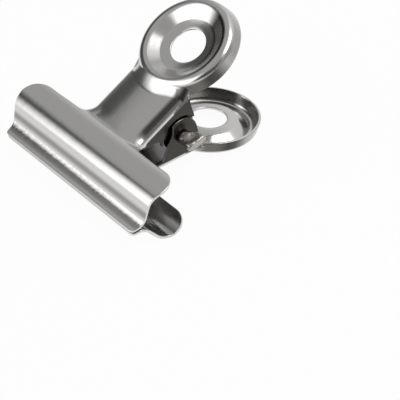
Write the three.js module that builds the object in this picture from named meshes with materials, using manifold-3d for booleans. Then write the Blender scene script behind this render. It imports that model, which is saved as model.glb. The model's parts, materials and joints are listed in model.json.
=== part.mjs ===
// A sprung metal paper clip: two pressed steel levers, each with a wide ribbed jaw, a narrow
// flanged neck and a dished finger ring, hinged on a pin with flattened ends and held shut by a
// double torsion spring. Millimetres, +Z up. The clip lies on its back lever, with its width
// along X and its jaws towards -Y.
import * as THREE from 'three';
import { mergeVertices } from 'three/addons/utils/BufferGeometryUtils.js';
import Module from 'manifold-3d';

const wasm = await Module();
wasm.setup();

// Sheet and clearances
const sheetThickness = 0.8;
const restGap = 0.3;
const pinClearance = 0.3;
const earEdgeGap = 0.7;

// Jaw: its widths across X, and the straights and bends of its profile from the lip up.
// A lean is the sheet's angle away from the clip's middle plane.
const jawWidth = 63;
const lipWidth = 59;
const lipCornerRadius = 1.4;
const shoulderRadius = 5.5;
const lipLean = 4;
const lipLength = 1.9;
const grooveBendRadius = 3.4;
const flareLean = 62;
const flareLength = 3.4;
const bulgeBendRadius = 5.1;
const plateLean = -2;
const plateLength = 2.2;
const browBendRadius = 9.1;
const browLean = -25;
const rootBendRadius = 2.4;

// Neck
const neckLean = 13.8;
const neckWidth = 22.4;
const neckShoulderWidth = 6.5;
const neckShoulderDepth = 3.4;
const rootFilletRadius = 5;

// Finger ring, as a profile turned about its own axis. Its crest starts a little way below the
// ears' top and stands a little way above the neck.
const crestSetback = 2.4;
const ringLean = 18;
const holeRadius = 5.45;
const hubWidth = 1.85;
const dishBendRadius = 4;
const dishSlope = 45;
const dishSlopeLength = 1.7;
const crestBendRadius = 1.8;
const wallSlope = 76;
const wallLength = 2.9;
const crestRise = 1.65;
const collarSlope = 48;
const collarSink = 0.05;

// Ears and hinge
const pivotHeight = 32.7;
const pivotOffset = 1.2;
const headRadius = 5.5;
const recessRadius = 6.3;
const recessSlopeWidth = 0.65;
const openingAngle = 50;
const earEdgeSlope = 41;
const reliefRadius = 2.6;
const reliefDrop = 9.6;
const reliefOffset = 1.7;
const pinRadius = 1.8;
const pinCollar = 0.9;
const pinTaper = 3;
const pinTailLength = 2.2;
const pinTailWidth = 6.3;
const pinTailThickness = 1.5;

// Spring
const wireDiameter = 1.2;
const coilTurns = 3;
const coilGap = 0.5;
const legLean = 75;
const legBendRadius = 2;
const legFootLength = 1;
const bridgeBendRadius = 1.6;

// Mesh fineness
const bendStep = 14;
const shoulderSteps = 6;
const flatSteps = 3;
const collarStep = 0.8;
const ringSegments = 48;
const arcSegments = 20;
const curlSteps = 8;
const wireSides = 5;
const pinSides = 16;

const half = (value) => value / 2;
const radians = THREE.MathUtils.degToRad;
const xAxis = new THREE.Vector3(1, 0, 0);
const yAxis = new THREE.Vector3(0, 1, 0);
const zAxis = new THREE.Vector3(0, 0, 1);

// Solids and meshes

function facedOutwards(positions, indices) {
  // The signed volume of a closed mesh is negative while its faces look inwards
  const corners = [new THREE.Vector3(), new THREE.Vector3(), new THREE.Vector3()];
  let volume = 0;
  for (let i = 0; i < indices.length; i += 3) {
    corners.forEach((corner, k) => corner.fromArray(positions, 3 * indices[i + k]));
    volume += corners[0].dot(corners[1].cross(corners[2]));
  }
  return volume < 0 ? Array.from(indices).reverse() : Array.from(indices);
}

function solidFrom(geometry) {
  const bare = geometry.clone();
  bare.deleteAttribute('normal');
  bare.deleteAttribute('uv');
  const merged = mergeVertices(bare, 1e-5);
  const positions = merged.attributes.position.array;
  return new wasm.Manifold(new wasm.Mesh({
    numProp: 3,
    vertProperties: positions,
    triVerts: new Uint32Array(facedOutwards(positions, merged.index.array)),
  }));
}

function geometryFrom(solid) {
  const mesh = solid.getMesh();
  const geometry = new THREE.BufferGeometry();
  geometry.setAttribute('position', new THREE.BufferAttribute(mesh.vertProperties, 3));
  geometry.setIndex(new THREE.BufferAttribute(mesh.triVerts, 1));
  geometry.computeVertexNormals();
  return geometry;
}

function loftedRows(rows, capTriangles) {
  // A closed body through rows of points, each row a loop, with the first and last row capped
  const positions = rows.flat().flatMap((point) => point.toArray());
  const count = rows[0].length;
  const indices = [];
  for (let i = 0; i < rows.length - 1; i += 1) {
    for (let j = 0; j < count; j += 1) {
      const a = i * count + j;
      const b = i * count + (j + 1) % count;
      indices.push(a, b, b + count, a, b + count, a + count);
    }
  }
  const lastRow = (rows.length - 1) * count;
  for (const [a, b, c] of capTriangles) {
    indices.push(a, c, b, lastRow + a, lastRow + b, lastRow + c);
  }
  const geometry = new THREE.BufferGeometry();
  geometry.setAttribute('position', new THREE.Float32BufferAttribute(positions, 3));
  geometry.setIndex(facedOutwards(positions, indices));
  geometry.computeVertexNormals();
  return geometry;
}

function fanTriangles(count) {
  return Array.from({ length: count - 2 }, (_, j) => [0, j + 1, j + 2]);
}

function stripTriangles(count) {
  // For a loop whose second half runs back beside its first half
  return Array.from({ length: half(count) - 1 }, (_, j) => j).flatMap((j) => [
    [j, j + 1, count - 2 - j],
    [j, count - 2 - j, count - 1 - j],
  ]);
}

function plateAcrossX(outline, xFrom, xTo) {
  // An outline drawn in Y and Z, given thickness from xFrom to xTo
  const geometry = new THREE.ExtrudeGeometry(outline, {
    depth: xTo - xFrom,
    bevelEnabled: false,
    curveSegments: arcSegments,
  });
  geometry.applyMatrix4(new THREE.Matrix4().makeBasis(yAxis, zAxis, xAxis));
  geometry.translate(xFrom, 0, 0);
  return solidFrom(geometry);
}

function discAcrossX(y, z, radius, xFrom, xTo) {
  const outline = new THREE.Shape().absarc(y, z, radius, 0, 2 * Math.PI);
  return plateAcrossX(outline, xFrom, xTo);
}

function bothSides(solid) {
  return solid.add(solid.mirror([1, 0, 0]));
}

// Pressed profiles, drawn in the middle of the sheet. A heading is measured from the v axis
// towards the u axis, and a bend turns it to a new value.

function pressedProfile(start, heading, moves) {
  const pieces = [];
  let [u, v] = start;
  let angle = radians(heading);
  for (const move of moves) {
    const piece = { u, v, angle };
    if (move.length === undefined) {
      const target = radians(move.heading);
      piece.bend = Math.sign(target - angle) * move.radius;
      piece.centreU = u + piece.bend * Math.cos(angle);
      piece.centreV = v - piece.bend * Math.sin(angle);
      angle = target;
      u = piece.centreU - piece.bend * Math.cos(angle);
      v = piece.centreV + piece.bend * Math.sin(angle);
    } else {
      u += move.length * Math.sin(angle);
      v += move.length * Math.cos(angle);
    }
    pieces.push({ ...piece, endU: u, endV: v, endAngle: angle });
  }
  return pieces;
}

function profileSamples(pieces) {
  const samples = [{ u: pieces[0].u, v: pieces[0].v, angle: pieces[0].angle }];
  for (const piece of pieces) {
    if (!piece.bend) {
      samples.push({ u: piece.endU, v: piece.endV, angle: piece.endAngle });
      continue;
    }
    const turn = piece.endAngle - piece.angle;
    const steps = Math.ceil(Math.abs(turn) / radians(bendStep));
    for (let k = 1; k <= steps; k += 1) {
      const angle = piece.angle + turn * k / steps;
      samples.push({
        u: piece.centreU - piece.bend * Math.cos(angle),
        v: piece.centreV + piece.bend * Math.sin(angle),
        angle,
      });
    }
  }
  return samples;
}

function profileAt(pieces, v) {
  // Where a profile that always rises passes height v
  const piece = pieces.find((candidate) => v <= candidate.endV) ?? pieces[pieces.length - 1];
  if (!piece.bend) {
    return { u: piece.u + (v - piece.v) * Math.tan(piece.angle), v, angle: piece.angle };
  }
  const angle = Math.asin(THREE.MathUtils.clamp((v - piece.centreV) / piece.bend, -1, 1));
  return { u: piece.centreU - piece.bend * Math.cos(angle), v, angle };
}

// Lever sheet. In a lever's own frame Y points outwards from the clip's middle plane and Z runs
// from the lip to the ring.

const sheetProfile = pressedProfile([half(restGap) + half(sheetThickness), 0], lipLean, [
  { length: lipLength },
  { radius: grooveBendRadius, heading: flareLean },
  { length: flareLength },
  { radius: bulgeBendRadius, heading: plateLean },
  { length: plateLength },
  { radius: browBendRadius, heading: browLean },
  { radius: rootBendRadius, heading: neckLean },
  { length: pivotHeight },
]);
const plateFootHeight = sheetProfile[3].endV;
const plateTopHeight = sheetProfile[5].endV;
const filletTopHeight = plateTopHeight + rootFilletRadius;
const earOutside = half(neckWidth);
const earInside = earOutside - sheetThickness;
const earTopHeight = pivotHeight + headRadius;
const neckTopHeight = earTopHeight - crestSetback;
const recessDepth = sheetThickness + restGap;
const flangeReach = pivotOffset + headRadius + restGap;

function neckFace(z) {
  // The neck's outer face, which is straight above the root bend
  const middle = profileAt(sheetProfile, z);
  return middle.u + half(sheetThickness) / Math.cos(middle.angle);
}

const ringProfile = profileSamples(pressedProfile([holeRadius, 0], 90, [
  { length: hubWidth },
  { radius: dishBendRadius, heading: 90 - dishSlope },
  { length: dishSlopeLength },
  { radius: crestBendRadius, heading: 90 + wallSlope },
  { length: wallLength },
]));
const ringCrest = ringProfile.reduce((top, sample) => (sample.v > top.v ? sample : top));
const ringRim = ringProfile[ringProfile.length - 1];
const ringAxis = yAxis.clone().applyAxisAngle(xAxis, -radians(ringLean));
const ringAlong = zAxis.clone().applyAxisAngle(xAxis, -radians(ringLean));
const ringCentre = new THREE.Vector3(0, neckFace(neckTopHeight) + crestRise, neckTopHeight)
  .addScaledVector(ringAlong, ringCrest.u)
  .addScaledVector(ringAxis, -ringCrest.v - half(sheetThickness));
const ringPlace = new THREE.Matrix4()
  .makeBasis(xAxis, ringAxis, ringAlong)
  .setPosition(ringCentre);

// The neck's sheet bends up into the ring's crest along a concave collar round the ring's axis
const crestFace = crestBendRadius + half(sheetThickness);
const collarStart = ringCrest.u + crestFace * Math.sin(radians(collarSlope));
const collarTop = crestRise - crestFace * (1 - Math.cos(radians(collarSlope)));
const collarWidth = 2 * collarTop / Math.tan(radians(collarSlope));
const collarReach = collarStart + collarWidth - ringCrest.u;

function collarAt(distance) {
  // The collar's rise over the neck, and its slope, at a distance from the ring's axis
  if (distance > collarStart) {
    const share = Math.max(0, 1 - (distance - collarStart) / collarWidth);
    return { rise: collarTop * share ** 2, slope: share * Math.tan(radians(collarSlope)) };
  }
  const across = Math.max(0, distance - ringCrest.u);
  const height = Math.sqrt(crestFace ** 2 - across ** 2);
  return { rise: crestRise - crestFace + height - collarSink, slope: across / height };
}

function shoulderDrop(x) {
  // How far the neck's outer face falls away beside its flat middle
  const across = Math.max(0, x - earOutside + neckShoulderWidth) / neckShoulderWidth;
  return neckShoulderDepth * (1 - Math.sqrt(1 - across ** 2));
}

function halfWidthAt(z) {
  if (z <= lipCornerRadius) {
    const rise = lipCornerRadius - z;
    return half(lipWidth) - lipCornerRadius + Math.sqrt(lipCornerRadius ** 2 - rise ** 2);
  }
  if (z <= plateFootHeight) {
    const share = (z - lipCornerRadius) / (plateFootHeight - lipCornerRadius);
    return THREE.MathUtils.lerp(half(lipWidth), half(jawWidth), share);
  }
  if (z <= plateTopHeight) {
    const rise = Math.max(0, z - (plateTopHeight - shoulderRadius));
    return half(jawWidth) - shoulderRadius + Math.sqrt(Math.max(0, shoulderRadius ** 2 - rise ** 2));
  }
  const rise = THREE.MathUtils.clamp(filletTopHeight - z, 0, rootFilletRadius);
  return earOutside + rootFilletRadius - Math.sqrt(rootFilletRadius ** 2 - rise ** 2);
}

function bendShareAt(z) {
  // How much of the neck's side bend there is: none on the jaw, all above the root fillet
  const fall = THREE.MathUtils.clamp((filletTopHeight - z) / rootFilletRadius, 0, 1);
  return 1 - fall ** 2;
}

function stationHeights() {
  const heights = profileSamples(sheetProfile).map((sample) => sample.v);
  heights.pop();
  for (let k = 0; k <= shoulderSteps; k += 1) {
    const turn = k * half(Math.PI) / shoulderSteps;
    heights.push(lipCornerRadius * (1 - Math.cos(turn)));
    heights.push(plateTopHeight - shoulderRadius * (1 - Math.sin(turn)));
    heights.push(filletTopHeight - rootFilletRadius * Math.cos(turn));
  }
  heights.push(plateTopHeight + half(restGap));
  for (let z = neckTopHeight - collarReach; z < neckTopHeight + collarReach; z += collarStep) {
    heights.push(z);
  }
  heights.sort((a, b) => a - b);
  const nearest = half(sheetThickness) / shoulderSteps;
  return heights.filter((z, i) => i === 0 || z - heights[i - 1] > nearest);
}

function sectionAt(z) {
  // Outer and inner points of one crosswise section, from the middle out to the +X edge
  const middle = profileAt(sheetProfile, z);
  const normal = new THREE.Vector3(0, Math.cos(middle.angle), -Math.sin(middle.angle));
  const outerMiddle = new THREE.Vector3(0, middle.u, z).addScaledVector(normal, half(sheetThickness));
  const share = bendShareAt(z);
  const depth = neckShoulderDepth * share;
  const flatHalf = halfWidthAt(z) - neckShoulderWidth;
  const points = [];
  const addPoint = (x, drop, lean) => {
    const outer = new THREE.Vector3(x, outerMiddle.y - drop, outerMiddle.z);
    const facing = normal.clone().multiplyScalar(Math.cos(lean)).addScaledVector(xAxis, Math.sin(lean));
    const away = outer.clone().sub(ringCentre).projectOnPlane(ringAxis);
    const collar = collarAt(away.length());
    outer.addScaledVector(normal, collar.rise);
    facing.addScaledVector(away.normalize(), collar.slope).normalize();
    points.push({ outer, inner: outer.clone().addScaledVector(facing, -sheetThickness) });
  };
  for (let k = 0; k < flatSteps; k += 1) {
    addPoint(flatHalf * k / flatSteps, 0, 0);
  }
  for (let k = 0; k <= shoulderSteps; k += 1) {
    const turn = k * half(Math.PI) / shoulderSteps;
    const x = flatHalf + neckShoulderWidth * Math.sin(turn);
    const lean = Math.atan2(depth * Math.sin(turn), neckShoulderWidth * Math.cos(turn));
    addPoint(x, depth * (1 - Math.cos(turn)), share * lean);
  }
  const edge = points[points.length - 1];
  if (share > 0.5) {
    addPoint(edge.outer.x, outerMiddle.y + flangeReach, share * half(Math.PI));
  } else {
    points.push({
      outer: edge.outer.clone().lerp(edge.inner, 1 / 3),
      inner: edge.outer.clone().lerp(edge.inner, 2 / 3),
    });
  }
  return points;
}

function pressedSheet() {
  // Jaw, neck and untrimmed side flanges in one bent sheet
  const mirrored = (point) => new THREE.Vector3(-point.x, point.y, point.z);
  const rows = stationHeights().map((z) => {
    const right = sectionAt(z);
    const left = right.slice(1).reverse();
    const outer = [...left.map((p) => mirrored(p.outer)), ...right.map((p) => p.outer)];
    const inner = [...left.map((p) => mirrored(p.inner)), ...right.map((p) => p.inner)];
    return [...outer, ...inner.reverse()];
  });
  return solidFrom(loftedRows(rows, stripTriangles(rows[0].length)));
}

// Finger ring

function turnedAboutRing(points) {
  const geometry = new THREE.LatheGeometry(points, ringSegments);
  geometry.applyMatrix4(ringPlace);
  return solidFrom(geometry);
}

function ringShell() {
  const offset = (distance) => ringProfile.map((sample) => new THREE.Vector2(
    sample.u - distance * Math.cos(sample.angle),
    sample.v + distance * Math.sin(sample.angle),
  ));
  const outline = [...offset(-half(sheetThickness)), ...offset(half(sheetThickness)).reverse()];
  return turnedAboutRing([...outline, outline[0]]);
}

function ringInside() {
  // All that the ring's middle surface covers, from its rim up past the dish
  const wall = ringProfile.filter((sample) => sample.u >= ringCrest.u);
  const ceiling = ringCrest.v + crestRise;
  return turnedAboutRing([
    new THREE.Vector2(0, ringRim.v),
    ...wall.reverse().map((sample) => new THREE.Vector2(sample.u, sample.v)),
    new THREE.Vector2(ringCrest.u, ceiling),
    new THREE.Vector2(0, ceiling),
  ]);
}

function underRingRim() {
  const size = 4 * ringRim.u;
  const geometry = new THREE.BoxGeometry(size, size, size);
  geometry.translate(0, ringRim.v - half(size), 0);
  geometry.applyMatrix4(ringPlace);
  const below = new THREE.BoxGeometry(size, size, size);
  below.translate(0, 0, earTopHeight - half(size));
  return solidFrom(geometry).subtract(solidFrom(below));
}

function neckChannel() {
  // The space between the neck's flanges, under its inner face and up to the ears' top
  const outline = new THREE.Shape([
    new THREE.Vector2(neckFace(filletTopHeight) - sheetThickness, filletTopHeight),
    new THREE.Vector2(neckFace(neckTopHeight) - sheetThickness, neckTopHeight),
    new THREE.Vector2(neckFace(neckTopHeight) - sheetThickness, ringCentre.z),
    new THREE.Vector2(-flangeReach, ringCentre.z),
    new THREE.Vector2(-flangeReach, filletTopHeight),
  ]);
  return plateAcrossX(outline, -earInside, earInside);
}

// Ears

function flangeSpace() {
  // Everything inwards of the fold lines, from the plate's top edge to the ears' top
  const foldAt = (z) => new THREE.Vector2(
    neckFace(z) - Math.max(sheetThickness, neckShoulderDepth * bendShareAt(z)) - half(sheetThickness),
    z,
  );
  const low = stationHeights().filter((z) => z > plateTopHeight && z < filletTopHeight);
  const far = 2 * neckTopHeight;
  const outline = new THREE.Shape([
    ...low.map(foldAt),
    foldAt(filletTopHeight),
    foldAt(far),
    new THREE.Vector2(-far, far),
    new THREE.Vector2(-far, low[0]),
  ]);
  return plateAcrossX(outline, -half(jawWidth), half(jawWidth));
}

function earEdge(pivotY, distance) {
  // The ear's lower edge: a slanting line that passes the pivot at a distance. The front and
  // back ears' edges run side by side, so each leans away from its own lever's fold.
  const side = Math.sign(pivotY);
  const slope = radians(earEdgeSlope);
  const foot = new THREE.Vector2(
    pivotY - side * distance * Math.sin(slope),
    pivotHeight - distance * Math.cos(slope),
  );
  const at = (z) => foot.x + side * (foot.y - z) / Math.tan(slope);
  return { foot, at };
}

function plainEar() {
  // A round head about the pivot, and a web that spreads from it to the fold
  const { foot, at } = earEdge(pivotOffset, headRadius);
  const fall = Math.tan(radians(90 - earEdgeSlope)) + Math.tan(radians(neckLean));
  const webLow = foot.y - (neckFace(foot.y) - foot.x) / fall;
  const web = new THREE.Shape([
    foot,
    new THREE.Vector2(at(webLow), webLow),
    new THREE.Vector2(neckFace(earTopHeight), earTopHeight),
    new THREE.Vector2(pivotOffset, earTopHeight),
    new THREE.Vector2(pivotOffset, pivotHeight),
  ]);
  return plateAcrossX(web, 0, earOutside)
    .add(discAcrossX(pivotOffset, pivotHeight, headRadius, 0, earOutside));
}

function recessedEar() {
  // A broad web with a relief above the jaw, cut back round the pivot to clear the other
  // lever's head, and inside it a lobe set in by one sheet that laps behind that head
  const { foot, at } = earEdge(-pivotOffset, headRadius + earEdgeGap);
  const reliefHeight = pivotHeight - reliefDrop;
  const reliefY = reliefOffset - pivotOffset;
  const webLow = plateTopHeight;
  const web = new THREE.Shape();
  web.moveTo(foot.x, foot.y);
  web.lineTo(at(reliefHeight + reliefRadius), reliefHeight + reliefRadius);
  web.lineTo(reliefY, reliefHeight + reliefRadius);
  web.absarc(reliefY, reliefHeight, reliefRadius, half(Math.PI), 0, true);
  web.lineTo(reliefY + reliefRadius, webLow);
  web.lineTo(neckFace(webLow), webLow);
  web.lineTo(neckFace(earTopHeight), earTopHeight);
  web.lineTo(-pivotOffset, earTopHeight);
  web.lineTo(-pivotOffset, pivotHeight);
  web.closePath();
  return plateAcrossX(web, 0, earOutside);
}

function recess() {
  // The dished wall and floor that carry the lobe, as a profile turned about the pivot
  const face = earOutside - recessDepth;
  const bite = half(restGap);
  const wallFoot = recessRadius - recessSlopeWidth;
  const outline = [
    new THREE.Vector2(0, face - sheetThickness),
    new THREE.Vector2(wallFoot + half(sheetThickness), face - sheetThickness),
    new THREE.Vector2(recessRadius + sheetThickness, earInside + bite),
    new THREE.Vector2(recessRadius + bite, earOutside - bite),
    new THREE.Vector2(wallFoot, face),
    new THREE.Vector2(0, face),
  ];
  const geometry = new THREE.LatheGeometry(outline, ringSegments);
  geometry.applyMatrix4(new THREE.Matrix4().makeBasis(yAxis, xAxis, zAxis.clone().negate()));
  geometry.translate(0, -pivotOffset, pivotHeight);
  return solidFrom(geometry);
}

function backEarSweep() {
  // Where the back lever's ear comes to when the clip is open: a band beside the pivot, along
  // the tangent of its head
  const turn = radians(90 - openingAngle);
  const across = new THREE.Vector2(Math.cos(turn), Math.sin(turn));
  const along = new THREE.Vector2(-across.y, across.x);
  const reach = headRadius + restGap;
  const length = 2 * recessRadius;
  const corner = (a, b) => new THREE.Vector2(-pivotOffset, pivotHeight)
    .addScaledVector(across, a)
    .addScaledVector(along, b);
  const outline = new THREE.Shape([
    corner(0, 0),
    corner(reach, 0),
    corner(reach, length),
    corner(0, length),
  ]);
  return plateAcrossX(outline, earOutside - recessDepth, earOutside);
}

// Whole levers

function lever(ear, pivotY, dressEar) {
  const trimmed = pressedSheet()
    .subtract(flangeSpace().subtract(bothSides(ear)))
    .subtract(ringInside())
    .subtract(underRingRim());
  const body = dressEar(trimmed).add(ringShell().subtract(neckChannel()));
  const pinHole = discAcrossX(pivotY, pivotHeight, pinRadius + pinClearance, -earOutside, earOutside);
  return geometryFrom(body.subtract(pinHole));
}

function backLever() {
  return lever(plainEar(), pivotOffset, (sheet) => sheet);
}

function frontLever() {
  const opening = discAcrossX(-pivotOffset, pivotHeight, recessRadius, 0, earOutside);
  const lobeOutline = discAcrossX(-pivotOffset, pivotHeight, headRadius - restGap, 0, earOutside);
  const lobe = recess().intersect(recessedEar().add(lobeOutline)).subtract(backEarSweep());
  return lever(
    recessedEar(),
    -pivotOffset,
    (sheet) => sheet.subtract(bothSides(opening)).add(bothSides(lobe)),
  );
}

// Hinge pin: round through the ears, then pinched to a flat tail at each end

function hingePin() {
  const flatStart = earOutside + pinCollar;
  const stations = [
    { x: flatStart, squeeze: 0 },
    { x: flatStart + pinTaper / 3, squeeze: 0.35 },
    { x: flatStart + pinTaper * 2 / 3, squeeze: 0.8 },
    { x: flatStart + pinTaper, squeeze: 1 },
    { x: flatStart + pinTaper + pinTailLength, squeeze: 1 },
  ];
  const mirroredStations = stations.map((station) => ({ ...station, x: -station.x })).reverse();
  const rows = [...mirroredStations, ...stations].map(({ x, squeeze }) => {
    const acrossZ = THREE.MathUtils.lerp(pinRadius, half(pinTailWidth), squeeze);
    const acrossY = THREE.MathUtils.lerp(pinRadius, half(pinTailThickness), squeeze);
    return Array.from({ length: pinSides }, (_, k) => {
      const turn = 2 * Math.PI * k / pinSides;
      return new THREE.Vector3(x, acrossY * Math.cos(turn), acrossZ * Math.sin(turn));
    });
  });
  const geometry = loftedRows(rows, fanTriangles(pinSides));
  geometry.translate(0, pivotOffset, pivotHeight);
  return geometry;
}

// Spring: one wire that makes a leg, a coil, a bridge, the mirrored coil and a leg

const coilRadius = pinRadius + restGap + half(wireDiameter);
const coilPitch = wireDiameter + coilGap;
const coilOutside = earInside - recessDepth - restGap - half(wireDiameter);

function legPoints(side, x) {
  // From the coil's tangent point at x to the foot that lies along a lever's inner face. Side
  // is +1 towards the back lever and -1 towards the front one; points are in Y and Z.
  const lean = radians(legLean);
  const wallLean = radians(neckLean);
  const start = new THREE.Vector2(
    pivotOffset + side * coilRadius * Math.cos(lean),
    pivotHeight - coilRadius * Math.sin(lean),
  );
  const standOff = (sheetThickness + restGap + half(wireDiameter)) / Math.cos(wallLean);
  const shoulder = shoulderDrop(x + half(wireDiameter));
  const wallAtStart = neckFace(start.y) - shoulder - standOff - side * start.x;
  const run = wallAtStart / (Math.sin(lean) - Math.cos(lean) * Math.tan(wallLean));
  const corner = new THREE.Vector2(side * Math.sin(lean), Math.cos(lean)).multiplyScalar(run).add(start);
  const setBack = legBendRadius * Math.tan(half(lean - wallLean));
  const towards = (distance, angle) => new THREE.Vector2(
    corner.x + side * distance * Math.sin(angle),
    corner.y + distance * Math.cos(angle),
  );
  const bend = new THREE.QuadraticBezierCurve(
    towards(-setBack, lean),
    corner,
    towards(setBack, wallLean),
  );
  return [start, ...bend.getPoints(4), towards(setBack + legFootLength, wallLean)];
}

function coilPoints() {
  // The +X coil, from the back leg at its outer end to the front leg at its inner end
  const startTurn = -radians(legLean);
  const wound = 2 * Math.PI * (coilTurns + 1) - Math.PI - 2 * radians(legLean);
  const steps = Math.round(wound / (2 * Math.PI) * curlSteps);
  return Array.from({ length: steps + 1 }, (_, k) => {
    const turn = startTurn - wound * k / steps;
    return new THREE.Vector3(
      coilOutside - coilPitch * wound * k / steps / (2 * Math.PI),
      pivotOffset + coilRadius * Math.cos(turn),
      pivotHeight + coilRadius * Math.sin(turn),
    );
  });
}

function springPath() {
  const coil = coilPoints();
  const coilInside = coil[coil.length - 1].x;
  const backLeg = legPoints(1, coilOutside).slice(1).reverse().map((p) => new THREE.Vector3(coilOutside, p.x, p.y));
  const frontLeg = legPoints(-1, coilInside).slice(1).map((p) => new THREE.Vector3(coilInside, p.x, p.y));
  const foot = frontLeg[frontLeg.length - 1];
  const along = foot.clone().sub(frontLeg[frontLeg.length - 2]).normalize();
  const bend = [1, 2, 3].map((k) => {
    const turn = k * half(Math.PI) / 3;
    return foot.clone()
      .addScaledVector(xAxis, -bridgeBendRadius * (1 - Math.cos(turn)))
      .addScaledVector(along, bridgeBendRadius * Math.sin(turn));
  });
  const right = [...backLeg, ...coil, ...frontLeg, ...bend];
  const left = right.map((point) => new THREE.Vector3(-point.x, point.y, point.z)).reverse();
  return [...right, ...left];
}

function wireAlong(path) {
  const tangentAt = (i) => path[Math.min(i + 1, path.length - 1)].clone()
    .sub(path[Math.max(i - 1, 0)]).normalize();
  let side = new THREE.Vector3().crossVectors(tangentAt(0), xAxis).normalize();
  const rows = path.map((centre, i) => {
    const tangent = tangentAt(i);
    side = side.addScaledVector(tangent, -side.dot(tangent)).normalize();
    const across = new THREE.Vector3().crossVectors(tangent, side);
    return Array.from({ length: wireSides }, (_, k) => {
      const turn = 2 * Math.PI * k / wireSides;
      return centre.clone()
        .addScaledVector(side, half(wireDiameter) * Math.cos(turn))
        .addScaledVector(across, half(wireDiameter) * Math.sin(turn));
    });
  });
  return loftedRows(rows, fanTriangles(wireSides));
}

function leastGapToItself(path) {
  // Between points of the wire's middle that lie more than half a curl apart along it
  let least = Infinity;
  for (let i = 0; i < path.length; i += 1) {
    for (let j = i + half(curlSteps); j < path.length; j += 1) {
      least = Math.min(least, path[i].distanceTo(path[j]) - wireDiameter);
    }
  }
  return least;
}

// Assembly

const steel = (color, roughness) => new THREE.MeshStandardMaterial({ color, roughness, metalness: 1 });

function namedMesh(name, geometry, material) {
  const mesh = new THREE.Mesh(geometry, material);
  mesh.name = name;
  return mesh;
}

function restingLean(lever) {
  // The lean of the plane that touches both the jaw and the ring of the lever that lies down
  const place = lever.geometry.attributes.position;
  const points = Array.from({ length: place.count }, (_, i) => (
    new THREE.Vector2(place.getY(i), place.getZ(i))
  ));
  let lean = radians(ringLean);
  for (let k = 0; k < ringSegments; k += 1) {
    const down = new THREE.Vector2(Math.cos(lean), -Math.sin(lean));
    const lowest = (group) => group.reduce((best, p) => (p.dot(down) > best.dot(down) ? p : best));
    const jaw = lowest(points.filter((p) => p.y < pivotHeight));
    const ring = lowest(points.filter((p) => p.y > pivotHeight));
    lean = Math.atan2(ring.x - jaw.x, ring.y - jaw.y);
  }
  return lean;
}

const path = springPath();
console.log(`Least gap between the spring's turns: ${leastGapToItself(path).toFixed(2)} mm`);

const front = namedMesh('front_lever', frontLever(), steel(0xb4b4b2, 0.3));
front.rotation.z = Math.PI;
const back = namedMesh('back_lever', backLever(), steel(0xb4b4b2, 0.3));
const pin = namedMesh('hinge_pin', hingePin(), steel(0xa9a7a2, 0.35));
const spring = namedMesh('torsion_spring', wireAlong(path), steel(0x8d8c88, 0.3));

const clip = new THREE.Group();
clip.add(front, back, pin, spring);
clip.rotation.x = restingLean(back) - half(Math.PI);
clip.updateMatrixWorld(true);
const bounds = new THREE.Box3().setFromObject(clip, true);
const middle = bounds.getCenter(new THREE.Vector3());
clip.position.set(-middle.x, -middle.y, -bounds.min.z);

const part = new THREE.Group();
part.add(clip);
part.updateMatrixWorld(true);

export default part;
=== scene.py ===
import json
import math

import bmesh
import bpy
import numpy as np
from mathutils import Matrix, Vector


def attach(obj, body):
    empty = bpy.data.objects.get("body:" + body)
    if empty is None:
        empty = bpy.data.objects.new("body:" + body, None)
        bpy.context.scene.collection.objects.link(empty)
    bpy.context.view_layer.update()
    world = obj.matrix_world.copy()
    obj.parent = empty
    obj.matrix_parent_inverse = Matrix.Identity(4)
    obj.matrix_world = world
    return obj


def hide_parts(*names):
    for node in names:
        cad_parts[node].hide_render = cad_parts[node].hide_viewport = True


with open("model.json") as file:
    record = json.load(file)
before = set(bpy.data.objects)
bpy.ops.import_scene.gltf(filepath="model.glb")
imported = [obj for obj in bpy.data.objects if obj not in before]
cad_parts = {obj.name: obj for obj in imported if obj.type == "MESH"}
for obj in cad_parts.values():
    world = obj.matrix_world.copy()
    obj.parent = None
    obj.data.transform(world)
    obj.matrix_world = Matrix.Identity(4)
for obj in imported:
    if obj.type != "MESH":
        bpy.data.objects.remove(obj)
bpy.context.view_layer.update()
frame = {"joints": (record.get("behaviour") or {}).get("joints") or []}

# ------------------------------------------------------------------ Studio
# A plain white sweep under one soft lamp, in a room with bright and dark sides. The clip lies in
# the upper left of the picture, seen from above its right-hand side through a long lens.

camera = bpy.data.objects.new("camera", bpy.data.cameras.new("camera"))
bpy.context.scene.collection.objects.link(camera)
camera.location = (0.27095, -0.20996, 0.2564)
camera.rotation_euler = (0.896395, 0.005136, 0.874793)
camera.data.sensor_width = 36
camera.data.lens = 133.75
camera.data.clip_start = 0.01
camera.data.clip_end = 20
bpy.context.scene.camera = camera
bpy.context.scene.view_settings.view_transform = "Standard"


class Sum:
    """A shader socket that can be added, multiplied and so on."""

    def __init__(self, tree, socket):
        self.tree = tree
        self.socket = socket

    def math(self, operation, a, b=None):
        values = {0: a} if b is None else {0: a, 1: b}
        return node(self.tree, "ShaderNodeMath", {"operation": operation}, values)

    def __add__(self, other):
        return self.math("ADD", self, other)

    def __radd__(self, other):
        return self.math("ADD", other, self)

    def __rsub__(self, other):
        return self.math("SUBTRACT", other, self)

    def __mul__(self, other):
        return self.math("MULTIPLY", self, other)

    def __rmul__(self, other):
        return self.math("MULTIPLY", other, self)

    def __abs__(self):
        return self.math("ABSOLUTE", self)

    def band(self, low, high, soft):
        """1 between low and high, with soft edges."""
        half = soft / 2
        return self.ramp(low - half, low + half) * (1 - self.ramp(high - half, high + half))

    def ramp(self, low, high):
        """0 below low and 1 above high, with a soft step between."""
        settings = {"interpolation_type": "SMOOTHSTEP"}
        return node(self.tree, "ShaderNodeMapRange", settings, {0: self, 1: low, 2: high})


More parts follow.
